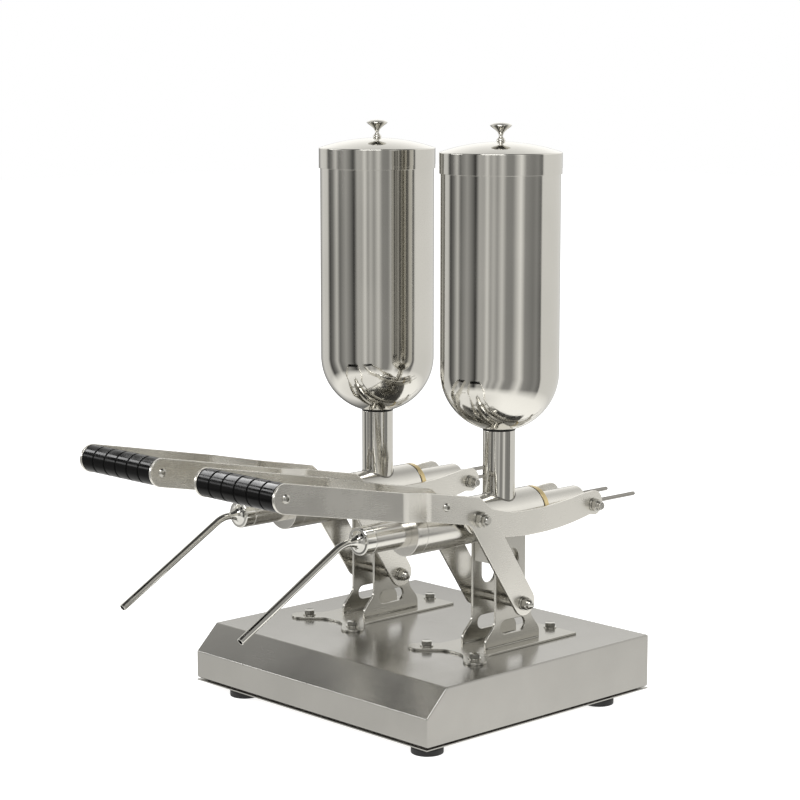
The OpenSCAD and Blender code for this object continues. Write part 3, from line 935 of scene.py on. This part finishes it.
def tube_ring(here, angle, radius, around=32):
    up = Vector((0, -math.sin(angle), math.cos(angle)))
    angles = [math.tau * k / around for k in range(around)]
    return [here + (X * math.cos(t) + up * math.sin(t)) * radius for t in angles]


def filling_tube(side):
    node = f"nozzle_{side}"
    centre = along_barrel(side)
    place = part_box(f"outlet_sleeve_{side}")[0].y
    face = place - cap_length
    outer = half_width(f"outlet_sleeve_{side}")
    shape = bmesh.new()
    cap = softened([
        (place, 0), (place, outer), (face + 1.2 * MM, outer),
        (face, outer - 1.1 * MM), (face, 13.2 * MM),
        (face - 1.2 * MM, 10.8 * MM), (face - 2.8 * MM, 8.7 * MM), (face - 5.5 * MM, 7.0 * MM),
        (face - 9 * MM, 5.6 * MM), (face - 12.5 * MM, 4.8 * MM),
        (face - 15 * MM, tube_radius), (face - 15 * MM, 0)], 1.2 * MM)
    add_turned(shape, cap, centre, Y, around=96)
    line = tube_line(face, centre)
    rings = [tube_ring(here, angle, tube_radius) for here, angle in line]
    tip, angle = line[-1]
    outward = Vector((0, -math.cos(angle), -math.sin(angle)))
    rings[-1] = tube_ring(tip - outward * 0.4 * MM, angle, tube_radius)
    rings.append(tube_ring(tip, angle, tube_radius - 0.35 * MM))
    rings.append(tube_ring(tip, angle, tube_bore))
    rings.append(tube_ring(tip - outward * inner_reach, angle, tube_bore))
    rings.append([tip - outward * inner_reach] * 32)
    add_rings(shape, [[line[0][0]] * 32] + rings)
    return piece(f"filling_tube_{side}", shape, drawn_tube, "frame", [node])


for side in SIDES:
    filling_tube(side)
print("2 filling tubes")

# %% [markdown]
# ## Throat tubes
#
# A short upright tube joins each hopper to its barrel. It is cut to sit on the
# round barrel and welded there, so its lower edge follows a saddle line. The
# height of that line comes from the barrel's circle. At the top, the hopper's
# neck slips into the tube, and a thin ring of black rubber lies on the joint:
# painted shade for the dark line there.

# %% Throat tubes
throat_wall = 2 * MM


def throat(side):
    node = f"throat_{side}"
    start = upright(node)
    radius = half_width(node)
    axis_height = middle(f"barrel_{side}").z
    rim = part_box(f"hopper_{side}")[0].z + 1.2 * MM
    shape = bmesh.new()
    wall = tube_wall(axis_height + 12 * MM, rim, radius, radius - throat_wall, 0.7 * MM)
    add_turned(shape, wall, start, Z, closed=True, around=96)
    neck = radius - throat_wall - 0.1 * MM
    spigot = [(rim - 12 * MM, 0), (rim - 12 * MM, neck), (rim + 3.5 * MM, neck), (rim + 3.5 * MM, 0)]
    add_turned(shape, spigot, start, Z, around=96)
    piece(f"throat_tube_{side}", shape, polished_hopper, "frame", [node])
    # painted shade: a thin black rubber ring on the joint stands for the dark line there
    shade_ring_shape = bmesh.new()
    ring = tube_wall(rim, rim + 1.6 * MM, radius + 0.25 * MM, neck, 0.6 * MM)
    add_turned(shade_ring_shape, ring, start, Z, closed=True, around=96)
    piece(f"neck_shade_ring_{side}", shade_ring_shape, matt_rubber, "frame")
    bead = bmesh.new()
    add_bead(bead, saddle_line(side, start, axis_height, radius), 0.9 * MM, ripple=0.1, closed=True)
    piece(f"throat_weld_{side}", bead, shaded_drawn_steel, "frame")


def saddle_line(side, start, axis_height, radius, count=300):
    """Where the throat tube meets the barrel, a hair outside both."""
    barrel_radius = half_width(f"barrel_{side}")
    reach = radius + 0.4 * MM
    line = []
    for k in range(count):
        a = math.tau * k / count
        x, y = reach * math.cos(a), reach * math.sin(a)
        height = axis_height + math.sqrt(barrel_radius ** 2 - x * x) + 0.3 * MM
        line.append(Vector((start.x + x, start.y + y, height)))
    return line


for side in SIDES:
    throat(side)
print("throat tubes welded to the barrels")

# %% [markdown]
# ## Hoppers and lids
#
# A hopper is a deep-drawn shell: a tall cylinder that ends in half a sphere. Its
# polish is what the whole picture is about, so it is turned with many faces and
# no flat ones. The lid is a shallow dome with a straight skirt over the hopper's
# rim. Its edges are rolled, which is where the thin bright lines come from.

# %% Hoppers
hopper_wall = 1.2 * MM


def arc_points(centre_d, radius, start, end, steps):
    """Points of an arc as (distance, radius), from one angle to another, in degrees."""
    angles = [math.radians(start + (end - start) * k / steps) for k in range(steps + 1)]
    return [(centre_d + radius * math.sin(a), radius * math.cos(a)) for a in angles]


def hopper(side):
    node = f"hopper_{side}"
    low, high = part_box(node)
    outer = half_width(node)
    round_centre = low.z + outer
    inner = outer - hopper_wall
    outline = arc_points(round_centre, outer, -90, 0, 40)
    outline += [(round_centre + (high.z - round_centre) * k / 4, outer) for k in (1, 2, 3)]
    outline += [(high.z - 0.8 * MM, outer), (high.z, outer - 0.4 * MM),
                (high.z, inner + 0.4 * MM), (high.z - 0.8 * MM, inner)]
    outline += arc_points(round_centre, inner, 0, -90, 40)
    return turned_piece(
        node, f"hopper_shell_{side}", outline, upright(node), Z,
        polished_hopper, "frame", around=160)


dome_rise = 13 * MM
lid_wall = 1.3 * MM


def lid(side, steps=16):
    node = f"lid_{side}"
    low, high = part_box(node)
    outer = half_width(node)
    inner = outer - lid_wall
    edge = high.z - dome_rise
    dome = (outer ** 2 + dome_rise ** 2) / (2 * dome_rise)
    lean = math.asin((outer - 2 * MM) / dome)
    slopes = [lean * k / steps for k in range(steps, -1, -1)]
    top = [(high.z - dome + dome * math.cos(a), dome * math.sin(a)) for a in slopes]
    skirt = softened([
        (low.z + 2 * MM, inner), (low.z, inner), (low.z, outer), (low.z + 12 * MM, outer),
        (edge, outer), top[0], top[1]], 1.6 * MM, steps=5)
    under = [(edge - lid_wall, 0), (edge - lid_wall, inner - 1 * MM), (edge - 3 * MM, inner)]
    return turned_piece(
        node, f"lid_dome_{side}", under + skirt[:-1] + top[1:], upright(node), Z,
        polished_hopper, f"lid_{side}", around=160)


for side in SIDES:
    hopper(side)
    lid(side)
print("2 hoppers, 2 lids")

# %% [markdown]
# ## Lid knobs
#
# The knob is a small turned trumpet: a bead that sits on the lid, a thin waist,
# and a wide flared head with a gently domed top. The polished lid under it shows
# the head a second time, pressed flat.

# %% Knobs
def knob(side):
    node = f"knob_{side}"
    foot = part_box(f"lid_{side}")[1].z - 0.6 * MM
    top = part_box(node)[1].z
    outline = [
        (foot, 0), (foot, 4.7 * MM), (foot + 1.4 * MM, 5.4 * MM), (foot + 2.7 * MM, 5.6 * MM),
        (foot + 4.0 * MM, 5.2 * MM), (foot + 5.2 * MM, 3.9 * MM), (foot + 6.6 * MM, 3.0 * MM),
        (foot + 8.4 * MM, 2.7 * MM), (foot + 10.2 * MM, 3.1 * MM), (top - 12 * MM, 4.4 * MM),
        (top - 9 * MM, 7.6 * MM), (top - 6.3 * MM, 11.4 * MM), (top - 4.7 * MM, 13.3 * MM),
        (top - 3.7 * MM, 13.9 * MM), (top - 2.8 * MM, 13.5 * MM), (top - 1.1 * MM, 9.5 * MM),
        (top - 0.2 * MM, 4 * MM), (top, 0)]
    return turned_piece(
        node, f"knob_turned_{side}", softened(outline, 2.2 * MM), upright(node), Z,
        polished_hopper, f"lid_{side}")


for side in SIDES:
    knob(side)
print("2 knobs")

# %% [markdown]
# ## Levers
#
# Each lever is a pair of plates that lie close beside the barrel and step
# outwards to the grip. The step is two bends in flat plate. So the plate is built
# flat, cut across near the bends, and its points are then moved sideways; the
# short cuts make the bends round instead of creased.

# %% Lever plates
near_bend, far_bend = -70.5 * MM, -131.5 * MM
bend_half = 7 * MM
plate_thick = 4 * MM


def sideways(y, step):
    """How far the plate has stepped out at that place along the lever."""
    def soft_part(distance):
        if distance <= -bend_half:
            return 0.0
        if distance >= bend_half:
            return distance
        return (distance + bend_half) ** 2 / (4 * bend_half)

    run = near_bend - far_bend
    return step * (soft_part(near_bend - y) - soft_part(far_bend - y)) / run


def lever_plate(side, which):
    node = f"lever_plate_{which}_{side}"
    low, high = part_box(node)
    centre = middle(f"barrel_{side}").x
    away = 1 if low.x > centre else -1
    inner_face = min(abs(low.x - centre), abs(high.x - centre))
    step = high.x - low.x - plate_thick
    shape = bmesh.new()
    add_plate(shape, outlines(node, 0), 0, 0, plate_thick, edge=0.7 * MM)
    for bend in (near_bend, far_bend):
        for k in range(-3, 4):
            everything = shape.verts[:] + shape.edges[:] + shape.faces[:]
            bmesh.ops.bisect_plane(
                shape, geom=everything, dist=1e-6,
                plane_co=(0, bend + bend_half * k / 3, 0), plane_no=(0, 1, 0))
    for v in shape.verts:
        v.co.x = centre + away * (inner_face + v.co.x + sideways(v.co.y, step))
    bmesh.ops.recalc_face_normals(shape, faces=shape.faces[:])
    return piece(
        f"lever_{which}_{side}", shape, brushed_plate, f"lever_{side}", [node])


for side in SIDES:
    for which in ("outer", "inner"):
        lever_plate(side, which)
print("4 lever plates with soft bends")

# %% [markdown]
# ## Grips
#
# A grip is a black rubber sleeve with six smooth bands and five grooves between
# them. The grooves are narrow, so each band keeps a straight gloss line from end
# to end. It is one outline turned about the grip's axis, groove by groove.

# %% Grips
def grip(side, bands=6, groove=1.5 * MM, sunk=1.1 * MM, bore=7 * MM, soft=0.8 * MM):
    node = f"grip_{side}"
    low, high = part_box(node)
    outer = (high.z - low.z) / 2
    half = half_width(node)
    band = 2 * half / bands
    outline = [(-half, bore), (-half, outer - soft)]
    for k in range(bands):
        start = -half + band * k
        outline += [(start + groove / 2, outer - sunk), (start + groove, outer),
                    (start + band - groove, outer), (start + band - groove / 2, outer - sunk)]
    outline += [(half, outer - soft), (half, bore)]
    return turned_piece(
        node, f"grip_sleeve_{side}", softened(outline, soft, steps=3, closed=True), middle(node), X,
        grip_rubber, f"lever_{side}", closed=True, around=80)


for side in SIDES:
    grips.objects.link(grip(side))
    dress(f"grip_tube_{side}", turned_steel)
print("2 grips")

# %% [markdown]
# ## Lever screws and the stop bar
#
# Button-head screws hold the grip tube and a slim cross bar between the lever
# plates. The bar rests on the barrel and stops the lever.

# %% Screws and stop bar
def lever_screws(side):
    boxes = [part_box(f"lever_plate_{which}_{side}") for which in ("outer", "inner")]
    lever_face = (max(high.x for low, high in boxes) - min(low.x for low, high in boxes)) / 2
    bar_face = half_width(f"stop_bar_{side}") + plate_thick
    shape = bmesh.new()
    for node, face in ((f"grip_{side}", lever_face), (f"stop_bar_{side}", bar_face)):
        for way in (X, -X):
            add_button_head(shape, middle(node) + way * face, way, 5.6 * MM, 3.2 * MM, 4 * MM)
    return piece(
        f"lever_screw_heads_{side}", shape, small_steel,
        f"lever_{side}", [f"lever_screws_{side}"])


def stop_bar(side):
    node = f"stop_bar_{side}"
    low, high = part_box(node)
    half, radius = half_width(node), (high.z - low.z) / 2
    shape = bmesh.new()
    add_rod(shape, middle(node) - X * half, X, radius, 2 * half, 0.5 * MM)
    return piece(
        f"stop_bar_turned_{side}", shape, turned_steel, f"lever_{side}", [node])


for side in SIDES:
    lever_screws(side)
    stop_bar(side)
print("8 button screws, 2 stop bars")

# %% [markdown]
# ## Links and their bolts
#
# A flat link on each side of the barrel carries the lever's push to the back of
# the plunger. In front it hangs on a bolt with a lock nut, and behind on the ends
# of the cross pin.

# %% Links
link_bolt = [
    (add_hexagon, 31.4, 16, 3.4), (add_rod, 34.8, 13, 1.4), (add_rod, 36.2, 5, 9.8, 0.2),
    (add_rod, 45.5, 11, 1.5), (add_hexagon, 47, 17, 8), (add_hexagon, 55, 13, 5),
    (add_thread, 58, 5, 4)]
rear_nut = [
    (add_rod, 41, 9, 1.6), (add_hexagon, 42.6, 14, 7.4), (add_rod, 49, 6.4, 3.5, 0.5),
    (add_thread, 52, 5, 3, 1)]


def both_ends(centre, stack, name, body, node):
    shape = bmesh.new()
    for way in (X, -X):
        add_stack(shape, centre, way, stack)
    return piece(name, shape, small_steel, body, [node])


for side in SIDES:
    for which in ("outer", "inner"):
        cut_plate(f"link_{which}_{side}", f"link_bar_{which}_{side}", 0, brushed_plate, f"links_{side}")
    bolts, nuts = f"link_bolts_{side}", f"rear_nuts_{side}"
    both_ends(middle(bolts), link_bolt, f"link_bolt_set_{side}", f"lever_{side}", bolts)
    both_ends(middle(f"crosshead_{side}"), rear_nut, f"rear_nut_set_{side}", f"plunger_{side}", nuts)
    dress(f"crosshead_{side}", turned_steel)
print("4 links with their nuts")

# %% [markdown]
# ## Plungers and guide rods
#
# The plunger is a solid ground bar that leaves the barrel at the back. Two thin
# rods beside it guide the cross pin, so that the plunger can't turn.

# %% Plungers and rods
def plunger(side, bevel=1.5 * MM):
    node = f"plunger_{side}"
    low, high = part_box(node)
    radius = half_width(node)
    outline = softened([
        (low.y, 0), (low.y, radius), (high.y - bevel, radius), (high.y, radius - bevel),
        (high.y, 0)], 0.5 * MM)
    return turned_piece(
        node, f"plunger_bar_{side}", outline, along_barrel(side), Y,
        turned_steel, f"plunger_{side}", around=96)


def guide_rods(reach=24.2 * MM, radius=2.75 * MM):
    low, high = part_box("guide_rods")
    tip = arc_points(high.y - radius, radius, 0, 90, 8)
    shape = bmesh.new()
    for side in SIDES:
        for x in (-reach, reach):
            start = along_barrel(side) + X * x
            add_turned(shape, [(low.y, 0), (low.y, radius)] + tip, start, Y, around=32)
    return piece("guide_rods_turned", shape, shaded_drawn_steel, "frame", ["guide_rods"])


for side in SIDES:
    plunger(side)
guide_rods()
print("2 plungers, 4 guide rods")
